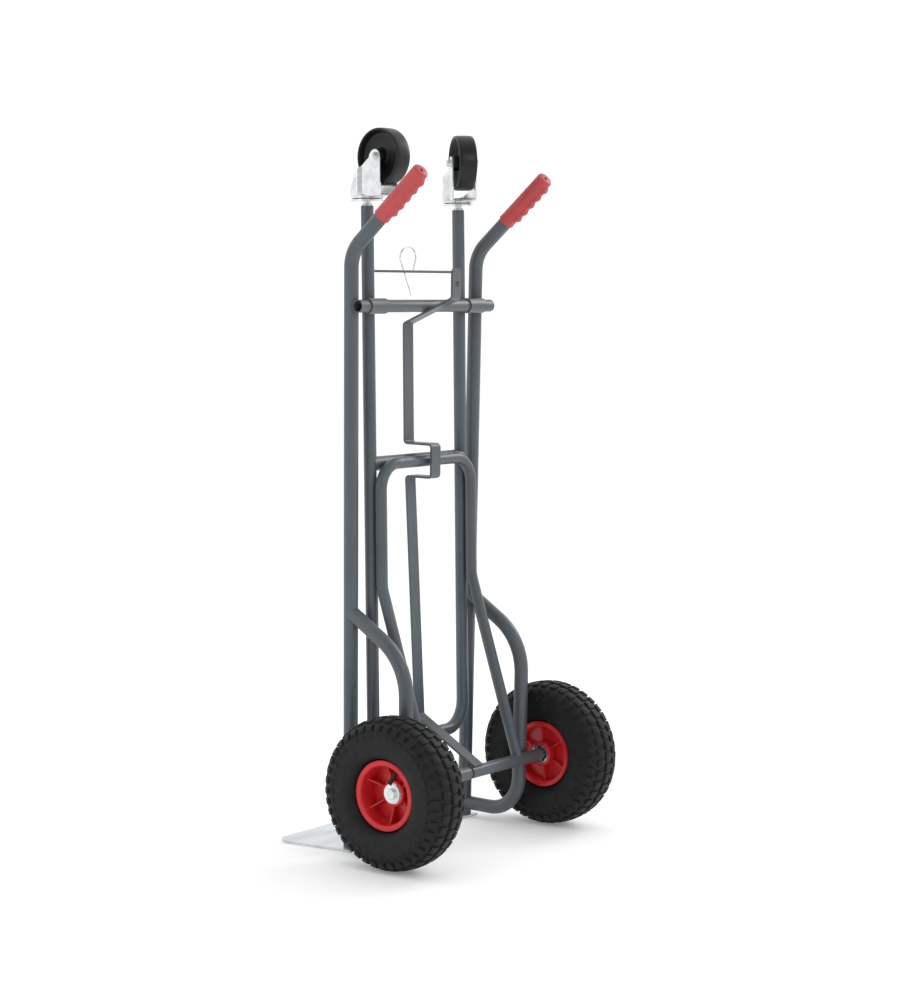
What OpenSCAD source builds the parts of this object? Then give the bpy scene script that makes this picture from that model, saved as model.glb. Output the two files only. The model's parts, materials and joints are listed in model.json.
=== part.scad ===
// Convertible hand truck: an upright two-wheel truck with a castor frame that swings out
// under its back, so that it can also be pushed as a four-wheel platform truck.
// The floor is Z = 0, +Z is up, -Y is the toe plate side and +Y the side of the operator.
// The origin is on the floor, midway between the two uprights. Left is +X.

/* [Main frame] */
// Distance between the upright axes at the floor
foot_spacing = 328; // [300:1:360]
// Distance between the upright axes one metre above the floor
top_spacing = 352; // [340:1:380]
// Outer diameter of the upright tubes and the bows
upright_od = 25; // [22:0.5:28]
// Wall of all the frame tubes
tube_wall = 1.5; // [1:0.1:2]
// Height at which the handles bend back
handle_z = 1029; // [990:1:1100]
// Angle of the handles from the vertical
handle_angle = 48; // [35:1:60]
// Length of a handle beyond its bend
handle_length = 198; // [160:1:230]
// Bend radius of the handles
handle_bend = 60; // [45:1:75]
// Height of the crossbar that carries the castor frame
crossbar_z = 938; // [880:1:960]
// Outer diameter of the crossbar
crossbar_od = 22; // [20:0.5:24]

/* [Grips] */
// Length of a grip
grip_length = 113; // [95:1:130]
// Outer diameter of a grip
grip_od = 31; // [29:0.5:34]
// Wall of a grip's closed end
grip_end = 3; // [2:0.5:5]
// Number of finger ridges
grip_ridges = 5; // [3:1:6]
// Air hole in the end of a grip
grip_hole = 6; // [4:0.5:8]

/* [Toe plate] */
// Width of the toe plate at its front edge
toe_front_width = 408; // [360:1:440]
// Width of the toe plate at the uprights
toe_back_width = 374; // [360:1:400]
// Reach of the toe plate in front of the uprights
toe_depth = 137; // [110:1:180]
// Reach of the toe plate behind the uprights
toe_back = 14; // [13:0.5:24]
// Thickness of the toe plate
toe_thickness = 4; // [3:0.5:6]
// Radius of the front corners
toe_corner = 26; // [10:1:40]

/* [Bows and axle] */
// Distance of the axle behind the uprights
axle_y = 145; // [135:1:160]
// Outer diameter of the axle tubes
axle_tube_od = 22; // [20:0.5:24]
// Diameter of the axle rod
axle_rod_d = 15; // [14:0.5:16]
// Height of the upper weld of a bow
bow_top_z = 416; // [380:1:450]
// Slope of the upper leg of a bow
bow_slope = 32; // [25:1:38]
// Height of the lower leg of a bow
bow_foot_z = 26; // [20:1:40]
// Gap between the two axle tubes
axle_gap = 6; // [3:0.5:10]
// Place of that gap from the middle
axle_gap_x = 19; // [16:1:40]
// Thickness of the end washers
end_washer_t = 3; // [2:0.5:4]
// Diameter of the end washers
end_washer_d = 33; // [30:1:38]

/* [Rear hoop] */
// Outer diameter of the hoop tube
hoop_od = 20; // [18:0.5:22]
// Distance between the hoop leg axes
hoop_spacing = 256; // [240:1:260]
// Height of the knees of the hoop
hoop_knee_z = 455; // [420:1:500]
// Bend radius of the hoop
hoop_bend = 45; // [35:1:55]

/* [Centre strut] */
// Width of the flat bar
strut_w = 25; // [20:0.5:30]
// Thickness of the flat bar
strut_t = 4; // [3:0.5:5]
// Distance of the locking tab behind the crossbar
tab_offset = 65.5; // [65:0.5:70]
// Height of the tab's hole above the crossbar
tab_hole_up = 39; // [36:0.5:42]
// Diameter of the tab's hole
tab_hole_d = 11; // [8:0.5:12]
// Height of the locking tab above the crossbar
tab_up = 66; // [60:1:70]

/* [Castor frame] */
// Distance between the axes of the castor frame's tubes
castor_spacing = 257; // [240:1:264]
// Outer diameter of the castor frame's tube
castor_tube_od = 22; // [20:0.5:23]
// Height of the tube tops above the hinge
castor_up = 170; // [160:1:200]
// Depth of the U's bottom below the hinge
castor_down = 761; // [740:1:765]
// Bend radius of the U
castor_bend = 48; // [40:1:60]
// Depth of the cross tube below the hinge
cross_down = 270; // [240:1:300]
// Outer diameter of the cross tube
cross_tube_od = 25; // [22:0.5:26]
// Lean of the castor frame at rest
castor_lean = 1.6; // [1:0.1:2]
// Wall of the hinge sleeves
sleeve_wall = 2.42; // [2:0.01:3]
// Height of the clip rod above the hinge
clip_rod_up = 60; // [58:0.5:62]
// Diameter of the clip rod
clip_rod_d = 4.6; // [4:0.1:5]

/* [Castors] */
// Diameter of a castor wheel
castor_wheel_d = 97; // [90:1:102]
// Width of a castor wheel
castor_wheel_w = 32; // [28:1:36]
// Trail of a castor
castor_trail = 40; // [34:1:44]
// Height of a castor's axle above the tube's top
castor_axle_up = 81; // [79:1:90]
// Diameter of a castor's ball race
race_d = 57; // [50:1:60]
// Thickness of a castor's fork
fork_t = 2.5; // [2:0.1:3]
// Diameter of a castor's axle bolt
castor_bolt_d = 8; // [6:0.5:9]
// Direction of the left castor's trail at rest
left_castor_turn = 85; // [0:1:360]
// Direction of the right castor's trail at rest
right_castor_turn = 50; // [0:1:360]

/* [Road wheels] */
// Distance between the middles of the tyres
track = 454; // [444:1:480]
// Outer diameter of a tyre
tyre_d = 260; // [250:1:270]
// Width of a tyre
tyre_w = 85; // [75:1:88]
// Thickness of a tyre's wall
tyre_wall = 6; // [4:0.5:8]
// Diameter of a rim's flanges
rim_d = 120; // [112:1:126]
// Width of a rim over its flanges
rim_w = 58; // [54:1:64]
// Number of ribs on a rim
rim_ribs = 6; // [5:1:8]
// Outer diameter of a rim's hub
hub_d = 44; // [43:1:52]
// Length of a rim's hub
hub_l = 34; // [30:1:44]
// Outer diameter of a bearing
bearing_d = 35; // [32:1:37]
// Width of a bearing
bearing_w = 11; // [9:0.5:12]

/* [Clip] */
// Wire diameter of the retaining clip
clip_wire = 3.5; // [3:0.1:4]
// Outer diameter of the clip's loop
clip_loop = 38; // [32:1:42]
// Length of the clip's straight leg below the rod
clip_leg = 45; // [35:1:48]
// Place of the clip along the rod
clip_x = 24; // [20:1:60]

/* [Fits] */
// Radial clearance of a running fit
running = 0.08; // [0.03:0.01:0.1]
// Gap between parts that move past each other
gap = 0.4; // [0.3:0.05:0.8]

/* [Hidden] */
$fn = 64;

powder_coat = "dimgray";
zinc = "silver";
red_plastic = "crimson";
black = "#202020";

// Main frame
foot_x = foot_spacing / 2;
splay = atan((top_spacing - foot_spacing) / 2 / 1000);
upright_r = upright_od / 2;
crossbar_r = crossbar_od / 2;
crossbar_y = upright_r + crossbar_r;
crossbar_half = foot_x + crossbar_z * tan(splay) + upright_r;
function upright_x(z) = foot_x + z * tan(splay);

// Axle, bows and wheels
axle_z = tyre_d / 2;
axle_tube_r = axle_tube_od / 2;
axle_rod_r = axle_rod_d / 2;
bow_y = axle_y - axle_tube_r - upright_r;
bow_shoulder_z = bow_top_z - bow_y * tan(bow_slope);
bow_shoulder_bend = 110;
bow_foot_bend = 62;
wheel_x = track / 2;
hub_inset = 31;
hub_in = wheel_x - hub_inset;
hub_out = hub_in + hub_l;
spacer_inset = 14;
spacer_in = upright_x(axle_z) + upright_r - spacer_inset;
spacer_play = 0.5;
rod_half = hub_out;

// Bolts in the ends of the axle rod
end_thread_r = 5;
end_thread_l = 25;
end_bolt_l = 24;
end_bolt_play = 0.1;
end_head_across = 17;
end_head_h = 6.5;
end_washer_play = 0.3;
washer_gap = 0.4;

// Castor frame, in its own upright frame: the origin is on the hinge's height, between its tubes
castor_tube_r = castor_tube_od / 2;
castor_x = castor_spacing / 2;
sleeve_r = crossbar_r + running + sleeve_wall;
sleeve_lap = 1.5;
hinge_back = sleeve_r + castor_tube_r;
cross_r = cross_tube_od / 2;
clip_rod_r = clip_rod_d / 2;
sleeve_in = castor_x - castor_tube_r - sleeve_lap;
sleeve_out = upright_x(crossbar_z) - upright_r - gap;

// Hoop: it stands behind the cross tube, as its stop
hoop_r = hoop_od / 2;
knee_bend = 60;
hoop_back = cross_r + gap + hoop_r;
function leaned(y, z) = [
    crossbar_y + (y - hinge_back) * cos(castor_lean) - z * sin(castor_lean),
    crossbar_z + (y - hinge_back) * sin(castor_lean) + z * cos(castor_lean)];
hoop_top = leaned(hoop_back, -cross_down);
hoop_knee = leaned(hoop_back, hoop_knee_z - crossbar_z);

// Strut: it passes under the crossbar, steps back round the hoop and stands on the axle tubes
strut_bend = 6;
tab_chamfer = 7;
strut_front_y = -16;
strut_slope = 23.5;
strut_drop = (crossbar_r + strut_t / 2) / cos(strut_slope);
tab_y = crossbar_y + tab_offset;
function strut_under(y) = crossbar_z - strut_drop + (y - crossbar_y) * tan(strut_slope);
step_half = 29;
step_mid_z = hoop_top[1];
step_clear = 9;
step_back_y = hoop_top[0] + hoop_r + step_clear;
strut_low = [20, 215];
foot_reach = norm([axle_y - strut_low[0], axle_z - strut_low[1]]);
foot_dir = atan2(axle_z - strut_low[1], axle_y - strut_low[0])
    + asin((axle_tube_r + strut_t / 2) / foot_reach);
strut_path = [
    [tab_y, crossbar_z + tab_up],
    [tab_y, strut_under(tab_y)],
    [strut_front_y, strut_under(strut_front_y)],
    [strut_front_y + 5, step_mid_z + step_half],
    [step_back_y, step_mid_z + step_half],
    [step_back_y, step_mid_z - step_half],
    [strut_front_y + 9, step_mid_z - step_half],
    strut_low,
    strut_low + foot_reach * [cos(foot_dir), sin(foot_dir)]];

// Castor, from the top of its tube
stem_neck = 8;
race_t = 3;
ball_d = 5;
ball_ring_r = race_d / 2 - 7;
crown_z = stem_neck + race_t + ball_d;
kingpin_r = 5;
fork_half = castor_wheel_w / 2 + 3.5;
bush_r = castor_bolt_d / 2 + 1.5;
castor_hub_half = fork_half - gap;
fork_eye_r = 12;
fork_front = castor_trail + fork_eye_r;
bolt_seat = fork_half + fork_t;
castor_head_h = 5;
castor_hex = 13;
nut_hex_h = 6;
nut_h = 7.5;
nut_collar_r = 5.6;
bolt_tail = 1;

// A bend is a hair fatter than the straight stretches that run a little way into it
joint_step = 0.08;
joint_lap = 0.5;

// ---------- shared shapes ----------

function unit(v) = v / norm(v);
function turn_of(a, b) = acos(max(-1, min(1, a * b)));

// A straight round bar from point a to point b
module bar(a, b, r) {
    d = b - a;
    translate(a)
        rotate([0, acos(d[2] / norm(d)), atan2(d[1], d[0])])
            cylinder(r = r, h = norm(d));
}

// A quarter or other part of a ring, where direction d1 turns into d2 at the corner
module elbow(corner, d1, d2, bend, r) {
    turn = turn_of(d1, d2);
    n = unit(cross(d1, d2));
    m = cross(n, d1);
    centre = corner - d1 * bend * tan(turn / 2) + m * bend;
    multmatrix([
        [-m[0], d1[0], n[0], centre[0]],
        [-m[1], d1[1], n[1], centre[1]],
        [-m[2], d1[2], n[2], centre[2]],
        [0, 0, 0, 1]])
        rotate_extrude(angle = turn)
            translate([bend, 0])
                circle(r = r + joint_step);
}

// A round bar along points, with a bend of its own radius at each inner point
module bent_bar(points, bends, r) {
    last = len(points) - 1;
    dirs = [for (i = [0:last - 1]) unit(points[i + 1] - points[i])];
    trims = [for (i = [0:last]) (i == 0 || i == last) ? 0
        : bends[i - 1] * tan(turn_of(dirs[i - 1], dirs[i]) / 2)];
    laps = [for (i = [0:last]) (i == 0 || i == last) ? 0 : joint_lap];
    for (i = [0:last - 1])
        bar(points[i] + dirs[i] * (trims[i] - laps[i]),
            points[i + 1] - dirs[i] * (trims[i + 1] - laps[i + 1]), r);
    for (i = [1:last - 1])
        elbow(points[i], dirs[i - 1], dirs[i], bends[i - 1], r);
}

// The same as a tube
module bent_tube(points, bends, r, wall = tube_wall) {
    difference() {
        bent_bar(points, bends, r);
        bent_bar(points, bends, r - wall);
    }
}

module tube_x(x0, x1, y, z, r, inner) {
    translate([x0, y, z])
        rotate([0, 90, 0])
            difference() {
                cylinder(r = r, h = x1 - x0);
                translate([0, 0, -1])
                    cylinder(r = inner, h = x1 - x0 + 2);
            }
}

module rod_x(x0, x1, y, z, r) {
    translate([x0, y, z])
        rotate([0, 90, 0])
            cylinder(r = r, h = x1 - x0);
}

module hexagon(across, h) {
    cylinder(r = across / 2 / cos(30), h = h, $fn = 6);
}

module on_side(side) {
    if (side < 0)
        mirror([1, 0, 0])
            children();
    else
        children();
}

// ---------- main frame ----------

// Local frame of one upright: Z runs up its axis from the floor
module at_upright() {
    translate([foot_x, 0, 0])
        rotate([0, splay, 0])
            children();
}

handle_run = [0, sin(handle_angle), cos(handle_angle)];
handle_corner = [0, 0, handle_z];

// The upright's round bar, longer by some millimetres at its foot and at its free end
module upright_bar(r, foot, over) {
    bent_bar([[0, 0, -foot], handle_corner, handle_corner + (handle_length + over) * handle_run],
        [handle_bend], r);
}

module upright(side) {
    color(powder_coat)
        on_side(side)
            difference() {
                at_upright()
                    difference() {
                        upright_bar(upright_r, 2, 0);
                        upright_bar(upright_r - tube_wall, 3, 1);
                    }
                translate([foot_x, 0, toe_thickness - 25])
                    cube([60, 60, 50], center = true);
            }
}

module left_upright() { upright(1); }
module right_upright() { upright(-1); }

module crossbar() {
    color(powder_coat)
        tube_x(-crossbar_half, crossbar_half, crossbar_y, crossbar_z, crossbar_r,
            crossbar_r - tube_wall);
}

// Points of a path with its corners rounded, and the outline of a flat bar along it
function corner_arc(a, b, c, r, steps) =
    let (d1 = unit(b - a), d2 = unit(c - b), turn = turn_of(d1, d2),
        side = sign(d1[0] * d2[1] - d1[1] * d2[0]),
        start = b - d1 * r * tan(turn / 2), m = side * [-d1[1], d1[0]])
    [for (i = [0:steps]) start + m * r + r * (-m * cos(turn * i / steps) + d1 * sin(turn * i / steps))];
function rounded(path, r, steps) = concat([path[0]],
    [for (i = [1:len(path) - 2]) each corner_arc(path[i - 1], path[i], path[i + 1], r, steps)],
    [path[len(path) - 1]]);
function normal_at(p, i) =
    let (a = p[max(i - 1, 0)], b = p[min(i + 1, len(p) - 1)], d = unit(b - a)) [-d[1], d[0]];

module flat_bar(path, t, w, r) {
    p = rounded(path, r, 5);
    n = len(p) - 1;
    outline = concat([for (i = [0:n]) p[i] + normal_at(p, i) * t / 2],
        [for (i = [n:-1:0]) p[i] - normal_at(p, i) * t / 2]);
    translate([-w / 2, 0, 0])
        rotate([90, 0, 90])
            linear_extrude(height = w)
                polygon(outline);
}

module centre_strut() {
    color(powder_coat)
        difference() {
            flat_bar(strut_path, strut_t, strut_w, strut_bend);
            translate([0, tab_y, crossbar_z + tab_hole_up])
                rotate([90, 0, 0])
                    cylinder(d = tab_hole_d, h = strut_t * 3, center = true);
            for (s = [-1, 1])
                translate([s * strut_w / 2, tab_y, crossbar_z + tab_up])
                    rotate([0, 45, 0])
                        cube([tab_chamfer, strut_t * 3, tab_chamfer], center = true);
        }
}

module rear_hoop() {
    x = hoop_spacing / 2;
    foot = [x, axle_y, axle_z];
    knee = [x, hoop_knee[0], hoop_knee[1]];
    top = [x, hoop_top[0], hoop_top[1]];
    path = [foot, knee, top, [-top[0], top[1], top[2]], [-knee[0], knee[1], knee[2]],
        [-foot[0], foot[1], foot[2]]];
    color(powder_coat)
        difference() {
            bent_tube(path, [knee_bend, hoop_bend, hoop_bend, knee_bend], hoop_r);
            rod_x(-x - 30, x + 30, axle_y, axle_z, axle_tube_r);
        }
}

module bow(side) {
    color(powder_coat)
        on_side(side)
            difference() {
                at_upright()
                    bent_tube([[0, 0, bow_top_z], [0, bow_y, bow_shoulder_z], [0, bow_y, bow_foot_z],
                        [0, 0, bow_foot_z]], [bow_shoulder_bend, bow_foot_bend], upright_r);
                at_upright()
                    union() {
                        cylinder(r = upright_r, h = bow_top_z + 100);
                        translate([-30, -60, 0])
                            cube([60, 60, bow_top_z + 100]);
                    }
            }
}

module left_bow() { bow(1); }
module right_bow() { bow(-1); }

module toe_plate() {
    front = toe_front_width / 2;
    back = toe_back_width / 2;
    inset = front - toe_corner;
    color("whitesmoke")
        linear_extrude(height = toe_thickness)
            union() {
                polygon([[-back, toe_back], [-back, 0], [-front, toe_corner - toe_depth],
                    [front, toe_corner - toe_depth], [back, 0], [back, toe_back]]);
                for (s = [-1, 1])
                    translate([s * inset, toe_corner - toe_depth])
                        circle(r = toe_corner);
                translate([-inset, -toe_depth])
                    square([2 * inset, toe_corner + 1]);
            }
}

module axle_tube(x0, x1) {
    color(powder_coat)
        tube_x(x0, x1, axle_y, axle_z, axle_tube_r, axle_rod_r + running);
}

module left_axle_tube() { axle_tube(axle_gap_x + axle_gap / 2, spacer_in); }
module right_axle_tube() { axle_tube(-spacer_in, axle_gap_x - axle_gap / 2); }
module left_spacer() { axle_tube(spacer_in + spacer_play, hub_in - spacer_play); }
module right_spacer() { axle_tube(spacer_play - hub_in, -spacer_in - spacer_play); }

module axle_rod() {
    color(zinc)
        difference() {
            rod_x(-rod_half, rod_half, axle_y, axle_z, axle_rod_r);
            for (s = [-1, 1])
                on_side(s)
                    rod_x(rod_half - end_thread_l, rod_half + 1, axle_y, axle_z, end_thread_r);
        }
}

module axle_end_washers() {
    color(zinc)
        for (s = [-1, 1])
            on_side(s)
                tube_x(hub_out + washer_gap, hub_out + washer_gap + end_washer_t, axle_y, axle_z,
                    end_washer_d / 2, end_thread_r + end_washer_play);
}

module axle_end_bolts() {
    color(zinc)
        for (s = [-1, 1])
            on_side(s)
                translate([hub_out + washer_gap + end_washer_t, axle_y, axle_z])
                    rotate([0, 90, 0])
                        union() {
                            hexagon(end_head_across, end_head_h);
                            translate([0, 0, -end_bolt_l])
                                cylinder(r = end_thread_r - end_bolt_play, h = end_bolt_l + 1);
                        }
}

ridge_first = 14;
ridge_last = 8;
ridge_y = 9;
ridge_r = 10.5;
ridge_w = 15;

// Grip: local Z runs out along the handle from the corner of the upright's path
module at_handle() {
    at_upright()
        translate([0, 0, handle_z])
            rotate([-handle_angle, 0, 0])
                children();
}

module grip(side) {
    start = handle_length + grip_end - grip_length;
    pitch = (grip_length - ridge_first - ridge_last) / grip_ridges;
    color(red_plastic)
        on_side(side)
            at_handle()
                difference() {
                    union() {
                        translate([0, 0, start])
                            cylinder(r = grip_od / 2, h = grip_length);
                        for (i = [0:grip_ridges - 1])
                            translate([0, ridge_y, start + ridge_first + pitch * (i + 0.5)])
                                rotate([0, 90, 0])
                                    cylinder(r = ridge_r, h = ridge_w, center = true);
                    }
                    translate([0, 0, start - 1])
                        cylinder(r = upright_r, h = handle_length - start + 1);
                    cylinder(d = grip_hole, h = handle_length + grip_end + 1);
                }
}

module left_grip() { grip(1); }
module right_grip() { grip(-1); }

// ---------- road wheels ----------

// Local frame of a road wheel: Z runs outwards along the axle from the middle of the tyre
module at_wheel(side) {
    on_side(side)
        translate([wheel_x, axle_y, axle_z])
            rotate([0, 90, 0])
                children();
}

tyre_r = tyre_d / 2;
rim_r = rim_d / 2;
rim_half = rim_w / 2;
bead_r = rim_r - 8;
bead_in = rim_half - 3.5;
shoulder = tyre_w / 2;

module tyre(side) {
    w = tyre_wall;
    color(black)
        at_wheel(side)
            rotate_extrude()
                polygon([[bead_r, -bead_in], [rim_r + 1, -bead_in], [rim_r + 3, -shoulder + 8],
                    [rim_r + 16, -shoulder], [tyre_r - 30, -shoulder], [tyre_r - 14, -shoulder + 5],
                    [tyre_r - 4, -shoulder + 15], [tyre_r, -12], [tyre_r, 12],
                    [tyre_r - 4, shoulder - 15], [tyre_r - 14, shoulder - 5],
                    [tyre_r - 30, shoulder], [rim_r + 16, shoulder], [rim_r + 3, shoulder - 8],
                    [rim_r + 1, bead_in], [bead_r, bead_in], [bead_r, bead_in - w],
                    [rim_r + 6, bead_in - w], [rim_r + 10, shoulder - w - 2],
                    [rim_r + 18, shoulder - w], [tyre_r - 32, shoulder - w],
                    [tyre_r - 18, shoulder - w - 8], [tyre_r - 2 * w, 12],
                    [tyre_r - 2 * w, -12], [tyre_r - 18, -shoulder + w + 8],
                    [tyre_r - 32, -shoulder + w], [rim_r + 18, -shoulder + w],
                    [rim_r + 10, -shoulder + w + 2], [rim_r + 6, -bead_in + w],
                    [bead_r, -bead_in + w]]);
}

stem_r = 3;
valve_turn = 162;

module inner_tube(side) {
    r0 = bead_r + 1;
    r1 = tyre_r - 2 * tyre_wall - 1;
    mid = (r0 + r1) / 2;
    color(black)
        at_wheel(side)
            union() {
                rotate_extrude()
                    translate([mid, 0])
                        difference() {
                            circle(r = (r1 - r0) / 2);
                            circle(r = (r1 - r0) / 2 - 2);
                        }
                rotate([0, 0, valve_turn])
                    translate([r0 + 1.5, 0, 5])
                        rotate([0, -65, 0])
                            cylinder(r = stem_r, h = 30);
            }
}

module valve_cap(side) {
    color(black)
        at_wheel(side)
            rotate([0, 0, valve_turn])
                translate([bead_r + 2.5, 0, 5])
                    rotate([0, -65, 0])
                        translate([0, 0, 30.2])
                            cylinder(r = 3.8, h = 8);
}

rim_web_t = 6;
first_rib = 5;
rib_t = 3;
rib_in = 22;
rib_out_hub = 1;
rib_out_barrel = 16;

// One rib, from the hub out to the barrel, where it stands prouder on the outer side
module rim_rib() {
    translate([0, rib_t / 2, 0])
        rotate([90, 0, 0])
            linear_extrude(height = rib_t)
                polygon([[hub_d / 2 - 2, -rib_in], [bead_r - 3, -rib_in],
                    [bead_r - 3, rib_out_barrel], [hub_d / 2 - 2, rib_out_hub]]);
}

module rim(side) {
    color(red_plastic)
        at_wheel(side)
            difference() {
                union() {
                    rotate_extrude()
                        polygon([[bead_r - 4, -rim_half], [rim_r, -rim_half], [rim_r, -rim_half + 3],
                            [bead_r, -rim_half + 5], [bead_r, rim_half - 5], [rim_r, rim_half - 3],
                            [rim_r, rim_half], [bead_r - 4, rim_half]]);
                    translate([0, 0, -rim_web_t / 2])
                        cylinder(r = bead_r - 2, h = rim_web_t);
                    translate([0, 0, hub_in - wheel_x])
                        cylinder(r = hub_d / 2, h = hub_l);
                    for (i = [0:rim_ribs - 1])
                        rotate([0, 0, first_rib + i * 360 / rim_ribs])
                            rim_rib();
                }
                translate([0, 0, hub_in - wheel_x - 1])
                    cylinder(r = hub_bore_r, h = hub_l + 2);
                for (z = [hub_in - wheel_x - 1, hub_out - wheel_x - bearing_w])
                    translate([0, 0, z])
                        cylinder(r = bearing_d / 2, h = bearing_w + 1);
                rotate([0, 0, valve_turn])
                    translate([bead_r + 2.5, 0, 5])
                        rotate([0, -65, 0])
                            cylinder(r = stem_r + 1.6, h = 39);
                rotate([0, 0, valve_turn])
                    translate([bead_r - 16, 0, 0])
                        cylinder(r = 9, h = 40, center = true);
            }
}

// The two bearings of a wheel, each ring a separate solid
bearing_z = [hub_in - wheel_x, hub_out - wheel_x - bearing_w];
race_in_r = axle_rod_r + 3;
race_out_r = bearing_d / 2 - 3;
hub_bore_r = (race_in_r + race_out_r) / 2;

module ring(z, h, r, inner) {
    translate([0, 0, z])
        difference() {
            cylinder(r = r, h = h);
            translate([0, 0, -1])
                cylinder(r = inner, h = h + 2);
        }
}

module bearing_outer_rings(side) {
    color(zinc)
        at_wheel(side)
            for (z = bearing_z)
                ring(z, bearing_w, bearing_d / 2, race_out_r);
}

module bearing_inner_rings(side) {
    color(zinc)
        at_wheel(side)
            for (z = bearing_z)
                ring(z - 0.4, bearing_w + 0.8, race_in_r, axle_rod_r);
}

module bearing_balls(side) {
    ball_r = (race_out_r - race_in_r - running) / 2;
    color(zinc)
        at_wheel(side)
            for (z = bearing_z, i = [0:7])
                rotate([0, 0, i * 45])
                    translate([race_out_r - ball_r, 0, z + bearing_w / 2])
                        sphere(r = ball_r);
}

module left_tyre() { tyre(1); }
module right_tyre() { tyre(-1); }
module left_inner_tube() { inner_tube(1); }
module right_inner_tube() { inner_tube(-1); }
module left_rim() { rim(1); }
module right_rim() { rim(-1); }
module left_valve_cap() { valve_cap(1); }
module right_valve_cap() { valve_cap(-1); }
module left_bearing_outer_rings() { bearing_outer_rings(1); }
module right_bearing_outer_rings() { bearing_outer_rings(-1); }
module left_bearing_inner_rings() { bearing_inner_rings(1); }
module right_bearing_inner_rings() { bearing_inner_rings(-1); }
module left_bearing_balls() { bearing_balls(1); }
module right_bearing_balls() { bearing_balls(-1); }

// ---------- castor frame ----------

// Its own frame leans about the hinge, which is the crossbar's axis
module at_castor_frame() {
    translate([0, crossbar_y, crossbar_z])
        rotate([castor_lean, 0, 0])
            translate([0, -hinge_back, 0])
                children();
}

module castor_frame_tube() {
    color(powder_coat)
        at_castor_frame()
            bent_tube([[castor_x, 0, castor_up], [castor_x, 0, -castor_down],
                [-castor_x, 0, -castor_down], [-castor_x, 0, castor_up]],
                [castor_bend, castor_bend], castor_tube_r);
}

// What is cut from a piece that is welded between the two tubes
module castor_tubes_solid() {
    for (s = [-1, 1])
        translate([s * castor_x, 0, -castor_down])
            cylinder(r = castor_tube_r, h = castor_down + castor_up);
}

module castor_cross_tube() {
    color(powder_coat)
        at_castor_frame()
            difference() {
                tube_x(-castor_x, castor_x, 0, -cross_down, cross_r, cross_r - tube_wall);
                castor_tubes_solid();
            }
}

module hinge_sleeve(side) {
    color(powder_coat)
        on_side(side)
            at_castor_frame()
                tube_x(sleeve_in, sleeve_out, hinge_back, 0, sleeve_r, crossbar_r + running);
}

module left_hinge_sleeve() { hinge_sleeve(1); }
module right_hinge_sleeve() { hinge_sleeve(-1); }

module clip_rod() {
    color(powder_coat)
        at_castor_frame()
            difference() {
                rod_x(-castor_x, castor_x, 0, clip_rod_up, clip_rod_r);
                castor_tubes_solid();
            }
}

// ---------- castors ----------

// A castor's frame: Z runs up from the tube's top, and X is the direction of its trail
module at_castor(side) {
    at_castor_frame()
        translate([side * castor_x, 0, castor_up])
            rotate([0, 0, side > 0 ? left_castor_turn : right_castor_turn])
                children();
}

module castor_stem(side) {
    color(zinc)
        at_castor(side)
            union() {
                translate([0, 0, -40])
                    cylinder(r = castor_tube_r - tube_wall, h = 40);
                cylinder(r1 = castor_tube_r - 0.5, r2 = castor_tube_r - 3, h = 4);
                cylinder(r = 6.5, h = stem_neck);
                translate([0, 0, stem_neck - 0.01])
                    cylinder(r = kingpin_r, h = crown_z + fork_t - stem_neck);
                translate([0, 0, crown_z + fork_t + 0.4])
                    cylinder(r = 8, h = 2.4);
                translate([0, 0, crown_z])
                    cylinder(r = kingpin_r, h = fork_t + 2);
            }
}

module castor_race(side) {
    color(zinc)
        at_castor(side)
            translate([0, 0, stem_neck])
                difference() {
                    union() {
                        cylinder(r = race_d / 2, h = race_t - 1);
                        cylinder(r = race_d / 2 - 3, h = race_t);
                    }
                    translate([0, 0, -1])
                        cylinder(r = kingpin_r, h = race_t + 2);
                }
}

module castor_balls(side) {
    color(zinc)
        at_castor(side)
            for (i = [0:11])
                rotate([0, 0, i * 30])
                    translate([ball_ring_r, 0, stem_neck + race_t + ball_d / 2 - running])
                        sphere(d = ball_d - 2 * running);
}

module fork_leg() {
    translate([0, fork_half + fork_t, 0])
        rotate([90, 0, 0])
            linear_extrude(height = fork_t)
                union() {
                    polygon([[-race_d / 2 + 6, crown_z], [fork_front, crown_z], [fork_front, castor_axle_up],
                        [castor_trail - 8, castor_axle_up + 9], [castor_trail - 12, castor_axle_up - 2],
                        [2, crown_z + 30], [-race_d / 2 + 8, crown_z + 14]]);
                    translate([castor_trail, castor_axle_up])
                        circle(r = fork_eye_r);
                }
}

module castor_fork(side) {
    color(zinc)
        at_castor(side)
            difference() {
                union() {
                    translate([0, 0, crown_z])
                        cylinder(r = race_d / 2 - 1, h = fork_t);
                    translate([0, -fork_half - fork_t, crown_z])
                        cube([fork_front, 2 * (fork_half + fork_t), fork_t]);
                    fork_leg();
                    mirror([0, 1, 0])
                        fork_leg();
                }
                translate([0, 0, crown_z - 1])
                    cylinder(r = kingpin_r + running, h = fork_t + 2);
                translate([castor_trail, 0, castor_axle_up])
                    rotate([90, 0, 0])
                        cylinder(d = castor_bolt_d, h = 100, center = true);
            }
}

// A castor's wheel frame: Z runs along its axle, from the middle of the wheel
module at_castor_axle(side) {
    at_castor(side)
        translate([castor_trail, 0, castor_axle_up])
            rotate([90, 0, 0])
                children();
}

module castor_wheel(side) {
    r = castor_wheel_d / 2;
    half = castor_wheel_w / 2;
    color(black)
        at_castor_axle(side)
            rotate_extrude()
                polygon([[bush_r + running, -castor_hub_half], [13, -castor_hub_half], [14, -4],
                    [r - 7, -4], [r - 5, -half], [r - 2.5, -half], [r - 0.8, -half + 4], [r, 0],
                    [r - 0.8, half - 4], [r - 2.5, half], [r - 5, half], [r - 7, 4], [14, 4],
                    [13, castor_hub_half], [bush_r + running, castor_hub_half]]);
}

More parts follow.
